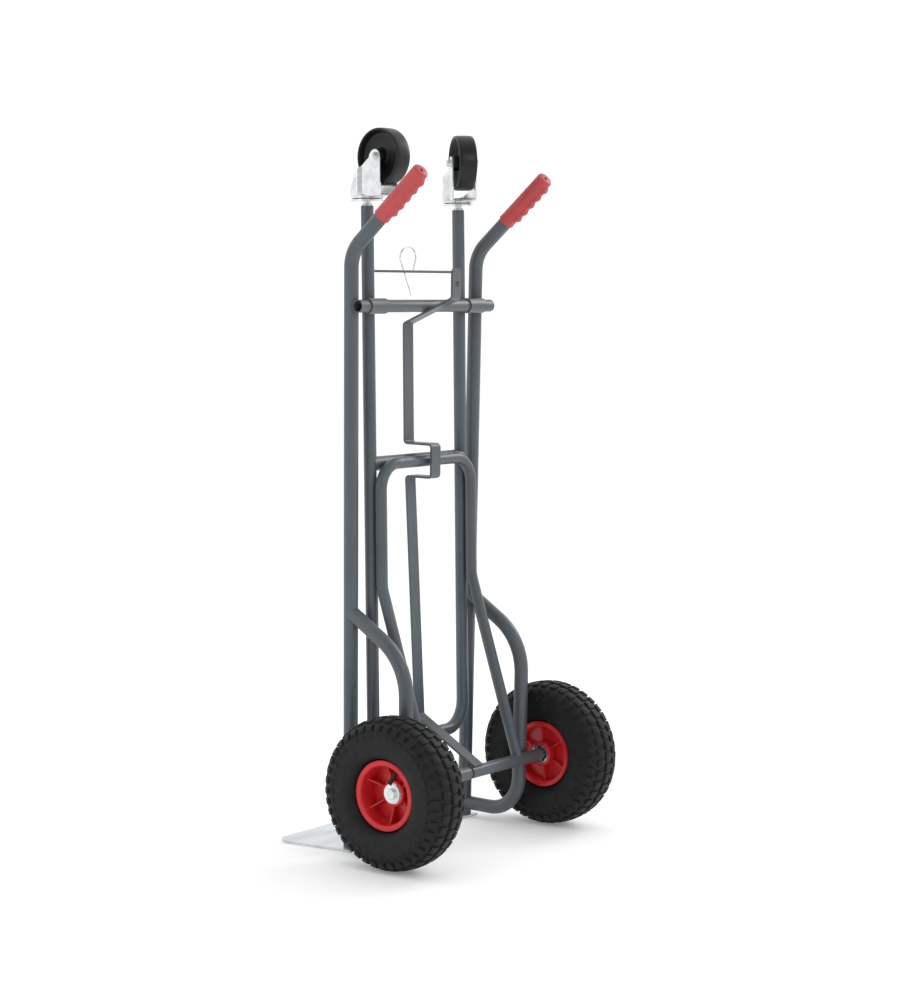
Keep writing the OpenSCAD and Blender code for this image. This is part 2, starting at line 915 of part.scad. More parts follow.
module castor_bush(side) {
    color(zinc)
        at_castor_axle(side)
            ring(-fork_half, 2 * fork_half, bush_r, castor_bolt_d / 2);
}

module castor_bolt(side) {
    color(zinc)
        at_castor_axle(side)
            union() {
                translate([0, 0, -bolt_seat - castor_head_h])
                    hexagon(castor_hex, castor_head_h);
                translate([0, 0, -bolt_seat - 1])
                    cylinder(d = castor_bolt_d, h = 2 * bolt_seat + 1 + nut_h + bolt_tail);
            }
}

module castor_nut(side) {
    color(zinc)
        at_castor_axle(side)
            translate([0, 0, bolt_seat])
                difference() {
                    union() {
                        hexagon(castor_hex, nut_hex_h);
                        cylinder(r = nut_collar_r, h = nut_h);
                    }
                    translate([0, 0, -1])
                        cylinder(d = castor_bolt_d, h = nut_h + 2);
                }
}

module left_castor_stem() { castor_stem(1); }
module right_castor_stem() { castor_stem(-1); }
module left_castor_race() { castor_race(1); }
module right_castor_race() { castor_race(-1); }
module left_castor_balls() { castor_balls(1); }
module right_castor_balls() { castor_balls(-1); }
module left_castor_fork() { castor_fork(1); }
module right_castor_fork() { castor_fork(-1); }
module left_castor_wheel() { castor_wheel(1); }
module right_castor_wheel() { castor_wheel(-1); }
module left_castor_bush() { castor_bush(1); }
module right_castor_bush() { castor_bush(-1); }
module left_castor_bolt() { castor_bolt(1); }
module right_castor_bolt() { castor_bolt(-1); }
module left_castor_nut() { castor_nut(1); }
module right_castor_nut() { castor_nut(-1); }

// Retaining clip: a straight leg beside the rod, a loop above it and a short free leg.
// Its plane is the rod's section: Y and Z from the rod's axis, turned round the rod.
clip_r = clip_wire / 2;
clip_pass = clip_rod_r + clip_r + 0.15;
clip_lean = 20.6;
clip_rise = 20;
clip_tail_lean = 16;
clip_tail = 19;

module retaining_clip() {
    ring_r = clip_loop / 2 - clip_r;
    up = [-sin(clip_lean), cos(clip_lean)];
    out = [cos(clip_lean), sin(clip_lean)];
    at_rod = [-clip_pass, 0] / cos(clip_lean);
    low = at_rod - up * clip_leg;
    start = at_rod + up * clip_rise;
    centre = start + out * ring_r;
    tail = centre + ring_r * [cos(clip_tail_lean), -sin(clip_tail_lean)];
    end = tail - clip_tail * [sin(clip_tail_lean), cos(clip_tail_lean)];
    color(zinc)
        at_castor_frame()
            translate([clip_x, 0, clip_rod_up])
                union() {
                    bar([0, low[0], low[1]],
                        [0, start[0], start[1]] + joint_lap * [0, up[0], up[1]], clip_r);
                    translate([0, centre[0], centre[1]])
                        rotate([90, 0, 90])
                            rotate([0, 0, -clip_tail_lean])
                                rotate_extrude(angle = 180 + clip_lean + clip_tail_lean)
                                    translate([ring_r, 0])
                                        circle(r = clip_r + joint_step);
                    bar([0, end[0], end[1]], [0, tail[0], tail[1]]
                        + joint_lap * [0, sin(clip_tail_lean), cos(clip_tail_lean)], clip_r);
                }
}

left_upright();
right_upright();
crossbar();
centre_strut();
rear_hoop();
left_bow();
right_bow();
left_axle_tube();
right_axle_tube();
axle_rod();
left_spacer();
right_spacer();
toe_plate();
left_grip();
right_grip();
axle_end_washers();
axle_end_bolts();
left_bearing_inner_rings();
right_bearing_inner_rings();
left_tyre();
left_inner_tube();
left_rim();
left_bearing_outer_rings();
left_bearing_balls();
left_valve_cap();
right_tyre();
right_inner_tube();
right_rim();
right_bearing_outer_rings();
right_bearing_balls();
right_valve_cap();
castor_frame_tube();
castor_cross_tube();
left_hinge_sleeve();
right_hinge_sleeve();
clip_rod();
left_castor_stem();
left_castor_race();
left_castor_balls();
left_castor_fork();
left_castor_wheel();
left_castor_bush();
left_castor_bolt();
left_castor_nut();
right_castor_stem();
right_castor_race();
right_castor_balls();
right_castor_fork();
right_castor_wheel();
right_castor_bush();
right_castor_bolt();
right_castor_nut();
retaining_clip();
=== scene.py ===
import json
import math

import bpy
from mathutils import Matrix, Vector


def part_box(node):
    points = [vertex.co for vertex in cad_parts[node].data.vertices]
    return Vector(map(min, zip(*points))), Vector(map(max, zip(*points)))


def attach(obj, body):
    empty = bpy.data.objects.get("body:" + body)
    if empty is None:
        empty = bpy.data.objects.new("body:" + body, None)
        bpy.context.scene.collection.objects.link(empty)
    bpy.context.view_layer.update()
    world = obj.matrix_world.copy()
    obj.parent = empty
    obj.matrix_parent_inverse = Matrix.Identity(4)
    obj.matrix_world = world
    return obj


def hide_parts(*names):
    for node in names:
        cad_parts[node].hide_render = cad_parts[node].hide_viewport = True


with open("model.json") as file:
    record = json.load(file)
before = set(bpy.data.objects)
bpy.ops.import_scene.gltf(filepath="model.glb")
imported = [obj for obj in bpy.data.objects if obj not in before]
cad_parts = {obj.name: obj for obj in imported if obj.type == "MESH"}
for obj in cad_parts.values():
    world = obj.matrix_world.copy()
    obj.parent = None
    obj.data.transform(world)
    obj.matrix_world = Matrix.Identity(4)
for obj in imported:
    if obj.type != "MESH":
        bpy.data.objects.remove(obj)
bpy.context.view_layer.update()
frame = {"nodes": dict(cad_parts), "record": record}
cadNodes = frame["nodes"]
print("frame loaded:", len(cadNodes), "CAD nodes")


def hexColour(text):
    # sRGB hex to the linear colour that the shaders use
    parts = [int(text[i:i + 2], 16) / 255 for i in (1, 3, 5)]
    linear = [c / 12.92 if c <= 0.04045 else ((c + 0.055) / 1.055) ** 2.4 for c in parts]
    return (*linear, 1.0)


def addNode(material, kind, settings=None, links=None):
    # one node, its settings, and what feeds it: {input: (node, output)}
    node = material.node_tree.nodes.new(kind)
    for name, value in (settings or {}).items():
        if name in node.inputs:
            node.inputs[name].default_value = value
        else:
            setattr(node, name, value)
    for name, (source, output) in (links or {}).items():
        material.node_tree.links.new(source.outputs[output], node.inputs[name])
    return node


def newMaterial(name, shaderSettings):
    material = bpy.data.materials.new(name)
    material.use_nodes = True
    shader = material.node_tree.nodes["Principled BSDF"]
    for socket, value in shaderSettings.items():
        shader.inputs[socket].default_value = value
    coords = addNode(material, "ShaderNodeTexCoord")
    return material, shader, coords


def link(material, source, output, target, socket):
    material.node_tree.links.new(source.outputs[output], target.inputs[socket])


def twoTones(material, factor, output, spread, tones):
    ramp = addNode(material, "ShaderNodeValToRGB", {}, {"Fac": (factor, output)})
    for stop, place, tone in zip(ramp.color_ramp.elements, spread, tones):
        stop.position = place
        stop.color = hexColour(tone)
    return ramp


def surfaceFinish(values):
    # colour from a slow cloud, bump from a fine grain, roughness from either; sizes are in millimetres
    material, shader, coords = newMaterial(values["name"], values["shader"])
    place = addNode(material, "ShaderNodeMapping", {"Scale": values.get("stretch", (1.0, 1.0, 1.0))},
                    {"Vector": (coords, "Object")})
    cloudSettings = {"Scale": 1000 / values["cloudMm"], **values["cloud"]}
    cloud = addNode(material, "ShaderNodeTexNoise", cloudSettings, {"Vector": (place, "Vector")})
    ramp = twoTones(material, cloud, "Fac", values["spread"], values["tones"])
    link(material, ramp, "Color", shader, "Base Color")
    unevenness = cloud
    if "grainMm" in values:
        grainSettings = {"Scale": 1000 / values["grainMm"], "Detail": values["grainDetail"]}
        grain = addNode(material, "ShaderNodeTexNoise", grainSettings, {"Vector": (place, "Vector")})
        bump = addNode(material, "ShaderNodeBump", values["bump"], {"Height": (grain, "Fac")})
        link(material, bump, "Normal", shader, "Normal")
        unevenness = cloud if values.get("dusty") else grain
    low, high = values["rough"]
    rough = addNode(material, "ShaderNodeMapRange", {"To Min": low, "To Max": high},
                    {"Value": (unevenness, "Fac")})
    link(material, rough, "Result", shader, "Roughness")
    return material


# polyester powder coat, sprayed and baked: even colour, faint orange peel, a soft gloss
powderCoat = surfaceFinish({
    "name": "slate polyester powder coat", "shader": {"Metallic": 0.0, "IOR": 1.5},
    "tones": ("#4b5155", "#53595e"), "spread": (0.35, 0.65), "cloudMm": 166.667,
    "cloud": {"Detail": 3.0}, "grainMm": 2.2, "grainDetail": 2.0, "rough": (0.30, 0.40),
    "bump": {"Strength": 0.05, "Distance": 0.001},
})

# bright zinc plating on pressed steel: cool, slightly cloudy, with fine handling marks
zinc = surfaceFinish({
    "name": "bright zinc plated steel", "shader": {"Metallic": 1.0},
    "tones": ("#d3d6d7", "#e6e8e8"), "spread": (0.38, 0.62), "cloudMm": 14.0,
    "cloud": {"Detail": 4.0}, "grainMm": 1.4, "grainDetail": 3.0, "rough": (0.20, 0.36),
    "bump": {"Strength": 0.06, "Distance": 0.0005},
})

# sheet steel, smooth zinc plated: brighter and flatter than the castors, long faint streaks
plateZinc = surfaceFinish({
    "name": "smooth zinc plated sheet", "shader": {"Metallic": 0.55, "IOR": 1.5},
    "tones": ("#c3c8cc", "#dde0e2"), "spread": (0.35, 0.65), "cloudMm": 30.0,
    "cloud": {"Detail": 5.0}, "stretch": (0.2, 1.0, 1.0), "rough": (0.28, 0.42),
})

# vulcanised rubber: near black, dull, dusty on its raised blocks
rubber = surfaceFinish({
    "name": "vulcanised tyre rubber",
    "shader": {"Metallic": 0.0, "IOR": 1.5, "Specular IOR Level": 0.28},
    "tones": ("#0e0e10", "#1c1d1f"), "spread": (0.40, 0.68), "cloudMm": 16.6667,
    "cloud": {"Detail": 6.0, "Roughness": 0.65}, "dusty": True, "grainMm": 1.1111, "grainDetail": 2.0,
    "rough": (0.50, 0.68), "bump": {"Strength": 0.12, "Distance": 0.0006},
})


def mouldedPlastic(name, tones, rough, grainMm, bumpStrength, shine=0.5):
    # injection moulded: even colour, very fine spark-eroded grain from the tool
    return surfaceFinish({
        "name": name, "shader": {"Metallic": 0.0, "IOR": 1.49, "Specular IOR Level": shine},
        "tones": tones, "spread": (0.35, 0.65), "cloudMm": 45.4545, "cloud": {"Detail": 4.0},
        "grainMm": grainMm, "grainDetail": 2.0, "rough": rough,
        "bump": {"Strength": bumpStrength, "Distance": 0.0005},
    })


gripRed = mouldedPlastic("soft red PVC", ("#b13c3e", "#bb4547"), (0.38, 0.50), 1.1, 0.10)
rimRed = mouldedPlastic("red polypropylene", ("#c21a20", "#cd2329"), (0.24, 0.34), 1.6, 0.05)
castorBlack = mouldedPlastic("black polypropylene", ("#0c0c0d", "#141516"), (0.30, 0.42), 1.3, 0.06, 0.35)
softBlack = mouldedPlastic("black rubber moulding", ("#141516", "#1d1e1f"), (0.50, 0.62), 1.2, 0.10)
print("materials made")

slotLooks = {
    "powder_coat": powderCoat, "zinc": zinc, "toe_plate": plateZinc, "red_grip": gripRed,
    "red_rim": rimRed, "black_plastic": castorBlack, "tyre": rubber, "rubber": softBlack,
}
for part in frame["record"]["subparts"]:
    node = cadNodes[part["node"]]
    for materialSlot in node.material_slots:
        materialSlot.material = slotLooks[part["material_slot"]]


tiny = 0.0001  # metres, for telling places apart
seam = 0.00002  # metres, points closer than this become one


def clearSelection():
    if bpy.context.object and bpy.context.object.mode != "OBJECT":
        bpy.ops.object.mode_set(mode="OBJECT")
    bpy.ops.object.select_all(action="DESELECT")


def makeActive(piece):
    clearSelection()
    piece.select_set(True)
    bpy.context.view_layer.objects.active = piece


def selectFaces(piece, wanted):
    # leaves the mesh in edit mode, with only the wanted faces selected
    bpy.ops.object.mode_set(mode="EDIT")
    bpy.ops.mesh.select_mode(type="FACE")
    bpy.ops.mesh.select_all(action="DESELECT")
    bpy.ops.object.mode_set(mode="OBJECT")
    for face in piece.data.polygons:
        face.select = bool(wanted(face))
    bpy.ops.object.mode_set(mode="EDIT")


def stackLoops(around, count):
    # one circle extruded in place into a stack of loops, whose points are then set one by one
    clearSelection()
    bpy.ops.mesh.primitive_circle_add(vertices=around, fill_type="NOTHING")
    piece = bpy.context.object
    bpy.ops.object.mode_set(mode="EDIT")
    bpy.ops.mesh.select_mode(type="EDGE")
    bpy.ops.mesh.select_all(action="SELECT")
    for loop in range(count - 1):
        bpy.ops.mesh.extrude_region_move(TRANSFORM_OT_translate={"value": (0, 0, 0)})
    bpy.ops.object.mode_set(mode="OBJECT")
    return piece


def mergePoints():
    # closes the seams and turns the faces outwards
    bpy.ops.object.mode_set(mode="EDIT")
    bpy.ops.mesh.select_mode(type="VERT")
    bpy.ops.mesh.select_all(action="SELECT")
    bpy.ops.mesh.remove_doubles(threshold=seam)
    bpy.ops.mesh.normals_make_consistent(inside=False)
    bpy.ops.object.mode_set(mode="OBJECT")


def ringStack(rows, around):
    # a lathed body: a loop for every (radius, height) of its closed profile
    path = rows + rows[:1]
    piece = stackLoops(around, len(path))
    for index, vertex in enumerate(piece.data.vertices):
        radius, height = path[index // around]
        turn = 2 * math.pi * (index % around) / around
        vertex.co = Vector((radius * math.cos(turn), radius * math.sin(turn), height))
    mergePoints()
    return piece


def bothHalves(half):
    # a profile in metres from its outer half in millimetres
    rows = [(radius / 1000, width / 1000) for radius, width in half]
    return rows + [(radius, -width) for radius, width in reversed(rows) if width]


def joinPieces(pieces):
    clearSelection()
    for piece in pieces:
        piece.select_set(True)
    bpy.context.view_layer.objects.active = pieces[0]
    bpy.ops.object.join()
    return bpy.context.object


def finishPiece(piece, name, material, place=None, smoothAngle=35.0):
    bpy.ops.object.mode_set(mode="OBJECT")
    piece.name = name
    piece.data.name = name
    if place is not None:
        piece.matrix_world = place
    makeActive(piece)
    bpy.ops.object.transform_apply(location=True, rotation=True, scale=True)
    bpy.ops.object.shade_smooth_by_angle(angle=math.radians(smoothAngle))
    piece.data.materials.clear()
    piece.data.materials.append(material)
    return piece


def copyPiece(piece, name, change):
    # a copy with its own mesh, moved or mirrored about the origin
    makeActive(piece)
    bpy.ops.object.duplicate(linked=False)
    twin = bpy.context.object
    twin.name = name
    twin.data.name = name
    twin.matrix_world = change
    bpy.ops.object.transform_apply(location=True, rotation=True, scale=True)
    if change.determinant() < 0:
        bpy.ops.object.mode_set(mode="EDIT")
        bpy.ops.mesh.select_all(action="SELECT")
        bpy.ops.mesh.normals_make_consistent(inside=False)
        bpy.ops.object.mode_set(mode="OBJECT")
    return twin


def bevelEdges(piece, width, angle):
    bevel = piece.modifiers.new("soft edges", "BEVEL")
    bevel.width = width
    bevel.segments = 2
    bevel.limit_method = "ANGLE"
    bevel.angle_limit = math.radians(angle)
    makeActive(piece)
    bpy.ops.object.modifier_apply(modifier=bevel.name)


mirrorX = Matrix.Scale(-1, 4, Vector((1, 0, 0)))


def wheelPlace(side):
    # a wheel's own Z axis turned to point outwards along the axle
    low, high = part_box(side + "_tyre")
    middle = (Vector(low) + Vector(high)) / 2
    turn = math.radians(90 if side == "left" else -90)
    return Matrix.Translation(middle) @ Matrix.Rotation(turn, 4, "Y")


tyre = {
    "middle": 0.0935, "thick": 0.0330, "halfWidth": 0.0413,
    "around": 200, "section": 40, "crownPower": 2.7, "beadPower": 4.4,
    "block": 0.0034, "lowBlock": 0.0010, "pitch": 5, "bevel": 0.0005, "bevelAngle": 40,
    # faces away from the crown: (columns shifted, columns wide, 1 for a full block and 2 for a low one)
    "rows": {0: (0, 4, 1), 2: (2, 3, 1), 3: (2, 3, 1), 5: (0, 3, 1), 6: (0, 3, 1), 8: (0, 3, 2)},
}


def tyreSection(point):
    # the round section of the torus becomes a tyre's: square at the bead, fuller at the crown
    radius = math.hypot(point.x, point.y)
    across = (radius - tyre["middle"]) / tyre["thick"]
    along = point.z / tyre["thick"]
    size = math.hypot(across, along)
    power = tyre["crownPower"] if across > 0 else tyre["beadPower"]
    fuller = (abs(across / size) ** power + abs(along / size) ** power) ** (-1 / power)
    newRadius = tyre["middle"] + tyre["thick"] * fuller * across / size
    return Vector((point.x / radius * newRadius, point.y / radius * newRadius,
                   tyre["halfWidth"] * fuller * along / size))


def treadKind(column, row):
    # rows count faces of the section from the crown, and 0 is a groove
    away = row if row >= 0 else -row - 1
    shift, wide, kind = tyre["rows"].get(away, (0, 0, 0))
    return kind if (column + shift) % tyre["pitch"] < wide else 0


def raiseBlocks(piece, kind, height):
    # the faces marked with one kind are drawn out along their normals
    selectFaces(piece, lambda face: piece.data.attributes["tread"].data[face.index].value == kind)
    bpy.ops.mesh.extrude_region_shrink_fatten(TRANSFORM_OT_shrink_fatten={"value": height})
    bpy.ops.object.mode_set(mode="OBJECT")


def makeTyre():
    clearSelection()
    bpy.ops.mesh.primitive_torus_add(major_radius=tyre["middle"], minor_radius=tyre["thick"],
                                     major_segments=tyre["around"], minor_segments=tyre["section"])
    piece = bpy.context.object
    marks = piece.data.attributes.new("tread", "INT", "FACE").data
    for face in piece.data.polygons:
        centre = face.center
        section = math.atan2(centre.z, math.hypot(centre.x, centre.y) - tyre["middle"])
        turn = math.atan2(centre.y, centre.x) % (2 * math.pi)
        marks[face.index].value = treadKind(int(turn / (2 * math.pi) * tyre["around"]),
                                            math.floor(section / (2 * math.pi) * tyre["section"]))
    for vertex in piece.data.vertices:
        vertex.co = tyreSection(vertex.co)
    raiseBlocks(piece, 2, tyre["lowBlock"])
    raiseBlocks(piece, 1, tyre["block"])
    bevelEdges(piece, tyre["bevel"], tyre["bevelAngle"])
    return piece


leftTyre = finishPiece(makeTyre(), "left_knobby_tyre", rubber, wheelPlace("left"))
rightTyre = copyPiece(leftTyre, "right_knobby_tyre", mirrorX)
for side, piece in (("left", leftTyre), ("right", rightTyre)):
    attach(piece, side + "_wheel")
    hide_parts(side + "_tyre")
print("tyres made:", len(leftTyre.data.polygons), "faces each")


grip = {
    "length": 0.113, "radius": 0.0143, "around": 72, "rings": 76, "hole": 0.0034, "end": 0.0028,
    "inner": 0.01255, "ridges": 5, "ridgeFrom": 0.012, "ridgeTo": 0.105, "ridgeHalf": 0.0062,
    "ridgeDeep": 0.0020, "bumpDeep": 0.0030, "ridgeSquare": 6, "fadeIn": 0.10, "fadeOut": 0.03,
    "lip": 0.0006, "lipAt": 0.002, "lipWide": 0.0016, "roundLong": 0.003, "roundDeep": 0.0020,
    "tubeRadius": 0.0125, "tubeGap": 0.0002, "splayPerMetre": 0.012, "handleAngle": 48.0,
}


def gripSurface(angle, height):
    # how far the surface stands from the axis; the finger ridges are on the +Y side
    lip = grip["lip"] * math.exp(-((height - grip["lipAt"]) / grip["lipWide"]) ** 2)
    sideways = grip["radius"] * math.sin(angle)
    raised = 0.0
    if math.cos(angle) > 0 and grip["ridgeFrom"] < height < grip["ridgeTo"]:
        share = (height - grip["ridgeFrom"]) / (grip["ridgeTo"] - grip["ridgeFrom"])
        edge = max(0.0, 1 - (abs(sideways) / grip["ridgeHalf"]) ** grip["ridgeSquare"])
        fade = min(1.0, share / grip["fadeIn"], (1 - share) / grip["fadeOut"])
        wave = 0.5 - 0.5 * math.cos(2 * math.pi * grip["ridges"] * share)
        raised = edge ** 0.5 * fade * (grip["ridgeDeep"] + grip["bumpDeep"] * wave)
    roundEnd = max(0.0, height - grip["length"] + grip["roundLong"]) / grip["roundLong"]
    return grip["radius"] + lip + raised - grip["roundDeep"] * roundEnd ** 2


def makeGrip():
    # a tube with a closed end and its air hole, then the outside is shaped
    length, rings = grip["length"], grip["rings"]
    outside = [(grip["radius"], length * ring / rings) for ring in range(rings + 1)]
    floor = length - grip["end"]
    piece = ringStack([(grip["inner"], 0.0)] + outside
                      + [(grip["hole"], length), (grip["hole"], floor), (grip["inner"], floor)],
                      grip["around"])
    for vertex in piece.data.vertices:
        x, y, height = vertex.co
        radius = math.hypot(x, y)
        if abs(radius - grip["radius"]) < tiny:
            wider = gripSurface(math.atan2(x, y), height) / radius
            vertex.co = Vector((x * wider, y * wider, height))
    return piece


def gripPlace(side):
    # local Z runs out along the handle, which ends just inside the grip's closed end
    low, high = (Vector(corner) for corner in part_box(side + "_upright"))
    outward = 1 if side == "left" else -1
    tube = grip["tubeRadius"]
    lean = math.radians(grip["handleAngle"])
    splay = math.atan(grip["splayPerMetre"]) * outward
    tilt = Matrix.Rotation(splay, 4, "Y") @ Matrix.Rotation(-lean, 4, "X")
    farX = high.x if side == "left" else low.x
    topEnd = Vector((farX - tube * outward, high.y - tube * math.cos(lean),
                     high.z - tube * math.sin(lean)))
    back = grip["length"] - grip["end"] - grip["tubeGap"]
    return Matrix.Translation(topEnd - tilt @ Vector((0, 0, back))) @ tilt


leftGrip = finishPiece(makeGrip(), "left_ridged_grip", gripRed, gripPlace("left"), 50)
rightGrip = copyPiece(leftGrip, "right_ridged_grip", mirrorX)
for side, piece in (("left", leftGrip), ("right", rightGrip)):
    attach(piece, "main_frame")
    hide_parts(side + "_grip")
print("grips made")


castor = {
    "around": 96, "holeFork": 0.0053, "sheet": 0.0024,
    "crown": 0.0160, "legSide": 0.0207, "front": 0.0520, "flareFrom": 0.0134, "flareTo": 0.0010,
    "backRadius": 0.0272, "axleX": 0.0400, "axleZ": 0.0810, "eye": 0.0118, "bend": 0.0035,
    "lipTop": 0.0172, "lipBottom": 0.0124, "lipRadius": 0.0282, "lipWide": 0.0022,
    "lipEdge": 0.0005, "lipRound": 0.0008, "leastWall": 0.0005,
    "legStep": 0.0008, "flareSteps": 9, "backSteps": 24, "frontSteps": 15, "wallRows": 12,
    # top edge of the fork from its back up to the eye
    "slope": [(-0.0280, 0.0220), (-0.0210, 0.0270), (-0.0100, 0.0390), (0.0010, 0.0590), (0.0134, 0.0700)],
    # the rounded corner between crown and leg: in from the side and up, as shares of the bend
    "corner": [(1.0, 0.0), (0.45, 0.1), (0.1, 0.45)],
    # radius and half width of the wheel, in millimetres, from the bore out to the middle of the tread
    "wheelHalf": [(5.6, 19.0), (12.0, 19.0), (12.9, 18.3), (13.6, 7.0), (15.5, 4.6), (18.0, 4.0),
                  (36.5, 4.0), (40.0, 5.4), (41.8, 8.5), (43.2, 14.8), (43.9, 15.7), (45.0, 16.0),
                  (46.2, 15.8), (47.3, 15.0), (48.0, 13.2), (48.3, 10.0), (48.5, 4.0)],
}


def makeCastorWheel():
    return ringStack(bothHalves(castor["wheelHalf"]), castor["around"])


def forkHeight(x):
    # top edge of the pressed fork: the eye round the axle, a slope, then the low shoulder
    eye, middle = castor["eye"], castor["axleX"]
    if x > middle - eye:
        return castor["axleZ"] + math.sqrt(max(eye ** 2 - (x - middle) ** 2, 0.0))
    slope = castor["slope"] + [(middle - eye, castor["axleZ"])]
    for (x0, z0), (x1, z1) in zip(slope, slope[1:]):
        if x <= x1:
            return z0 + (z1 - z0) * max(0.0, (x - x0) / (x1 - x0))
    return castor["axleZ"]


def forkPlan():
    # the fork's plan, from the front corner round the back: two straight legs that flare out
    side, back, front = castor["legSide"], castor["backRadius"], castor["front"]
    flareFrom, flareTo = castor["flareFrom"], castor["flareTo"]
    legSteps = int((front - flareFrom) / castor["legStep"]) + 1
    plan = [(front - step * castor["legStep"], side) for step in range(legSteps)]
    flareY = math.sqrt(back ** 2 - flareTo ** 2)
    for step in range(1, castor["flareSteps"]):
        share = step / castor["flareSteps"]
        smooth = share * share * (3 - 2 * share)
        plan.append((flareFrom + (flareTo - flareFrom) * share, side + (flareY - side) * smooth))
    first = math.atan2(flareY, flareTo)
    for step in range(castor["backSteps"] + 1):
        turn = first + (math.pi - first) * step / castor["backSteps"]
        plan.append((back * math.cos(turn), back * math.sin(turn)))
    return plan + [(x, -y) for x, y in reversed(plan[:-1])]


def makeFork():
    plan = forkPlan()
    side, crown, bend, steps = castor["legSide"], castor["crown"], castor["bend"], castor["frontSteps"]
    loop = plan + [(castor["front"], side * (2 * step / steps - 1)) for step in range(1, steps)]
    shoulder = crown + bend
    corner = castor["corner"]
    piece = stackLoops(len(loop), len(corner) + castor["wallRows"] + 2)
    for index, vertex in enumerate(piece.data.vertices):
        row, column = divmod(index, len(loop))
        x, y = loop[column]
        reach = math.hypot(x, y)
        if row == 0:
            inward, height = castor["holeFork"] / reach, crown
        elif row <= len(corner):
            share, rise = corner[row - 1]
            inward, height = 1 - share * bend / reach, crown + rise * bend
        else:
            top = max(forkHeight(x), shoulder + castor["leastWall"]) if column < len(plan) else shoulder
            share = (row - len(corner) - 1) / castor["wallRows"]
            inward, height = 1.0, shoulder + (top - shoulder) * share
        vertex.co = Vector((x * inward, y * inward, height))
    selectFaces(piece, lambda face: face.center.x > castor["front"] - castor["legStep"] / 2
                and abs(face.center.y) < side - tiny)
    bpy.ops.mesh.delete(type="FACE")  # the flat front between the legs, left with no height
    mergePoints()
    sheet = piece.modifiers.new("sheet", "SOLIDIFY")
    sheet.thickness = castor["sheet"]
    sheet.offset = 0
    makeActive(piece)
    bpy.ops.object.modifier_apply(modifier=sheet.name)
    outer, top, bottom = castor["lipRadius"], castor["lipTop"], castor["lipBottom"]
    inner, edge, rounded = outer - castor["lipWide"], castor["lipEdge"], castor["lipRound"]
    lip = ringStack([(inner, bottom), (outer - edge, bottom), (outer, bottom + edge),
                     (outer, top - rounded), (outer - rounded, top), (inner, top)], castor["around"])
    return joinPieces([piece, lip])


def jointNamed(name):
    return next(joint for joint in frame["record"]["behaviour"]["joints"] if joint["name"] == name)


def axesPlace(origin, along, up):
    # a place whose Z is one direction and whose X is as near as it can be to another
    zAxis = Vector(along).normalized()
    xAxis = (Vector(up) - Vector(up).dot(zAxis) * zAxis).normalized()
    yAxis = zAxis.cross(xAxis)
    place = Matrix((xAxis, yAxis, zAxis)).transposed().to_4x4()
    place.translation = Vector(origin)
    return place


for side in ("left", "right"):
    swivel, spin = jointNamed(side + "_castor_swivel"), jointNamed(side + "_castor_spin")
    trail = Vector(spin["pos_m"]) - Vector(swivel["pos_m"])
    forkPiece = finishPiece(makeFork(), side + "_pressed_fork", zinc,
                            axesPlace(swivel["pos_m"], swivel["axis"], trail), 40)
    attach(forkPiece, side + "_castor")
    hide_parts(side + "_castor_fork")
    wheelPiece = finishPiece(makeCastorWheel(), side + "_moulded_castor_wheel", castorBlack,
                             axesPlace(spin["pos_m"], spin["axis"], swivel["axis"]), 30)
    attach(wheelPiece, side + "_castor_roller")
    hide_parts(side + "_castor_wheel")
print("castors made")


rim = {
    "around": 120, "ribs": 6, "firstRib": 5.0, "ribThick": 0.0026, "ribIn": 0.0215,
    "ribOutHub": 0.0018, "ribOutBarrel": 0.0160, "ribBevel": 0.0006, "bevelAngle": 32,
    "hubRadius": 0.0220, "hubIn": 0.0310, "hubOut": 0.0030, "hubRound": 0.0008, "hubBore": 0.0126,
    "bearing": 0.0176, "bearingDeep": 0.0110, "barrel": 0.0480, "lap": 0.0010,
    "webOut": -0.0060, "webIn": -0.0095, "webSlope": 0.0010,
    # barrel and flange, radius and distance from the middle in millimetres, outer half
    "half": [(48.0, 0.0), (48.0, 12.0), (49.2, 24.0), (50.2, 27.2), (51.8, 28.6), (54.0, 29.0),
             (57.4, 29.0), (59.2, 28.4), (60.0, 27.0), (59.4, 25.8), (57.0, 25.4), (54.2, 24.6),
             (52.0, 22.6), (51.8, 0.0)],
}


def makeHub():
    # solid between its two bearing seats
    radius, bore, seat = rim["hubRadius"], rim["hubBore"], rim["bearing"]
    outer, inner, rounded, deep = rim["hubOut"], -rim["hubIn"], rim["hubRound"], rim["bearingDeep"]
    return ringStack([(seat, outer), (radius - rounded, outer), (radius, outer - rounded),
                      (radius, inner + rounded), (radius - rounded, inner), (seat, inner),
                      (seat, inner + deep), (bore, inner + deep), (bore, outer - deep),
                      (seat, outer - deep)], rim["around"])


def makeRib(inside, outside, turn):
    # a thin plate from hub to barrel, higher at the barrel
    clearSelection()
    bpy.ops.mesh.primitive_cube_add(size=1)
    rib = bpy.context.object
    for vertex in rib.data.vertices:
        atBarrel = vertex.co.x > 0
        high = rim["ribOutBarrel"] if atBarrel else rim["ribOutHub"]
        vertex.co = Vector((outside if atBarrel else inside, vertex.co.y * rim["ribThick"],
                            high if vertex.co.z > 0 else -rim["ribIn"]))
    bevelEdges(rib, rim["ribBevel"], rim["bevelAngle"])
    rib.rotation_euler = (0, 0, turn)
    return rib


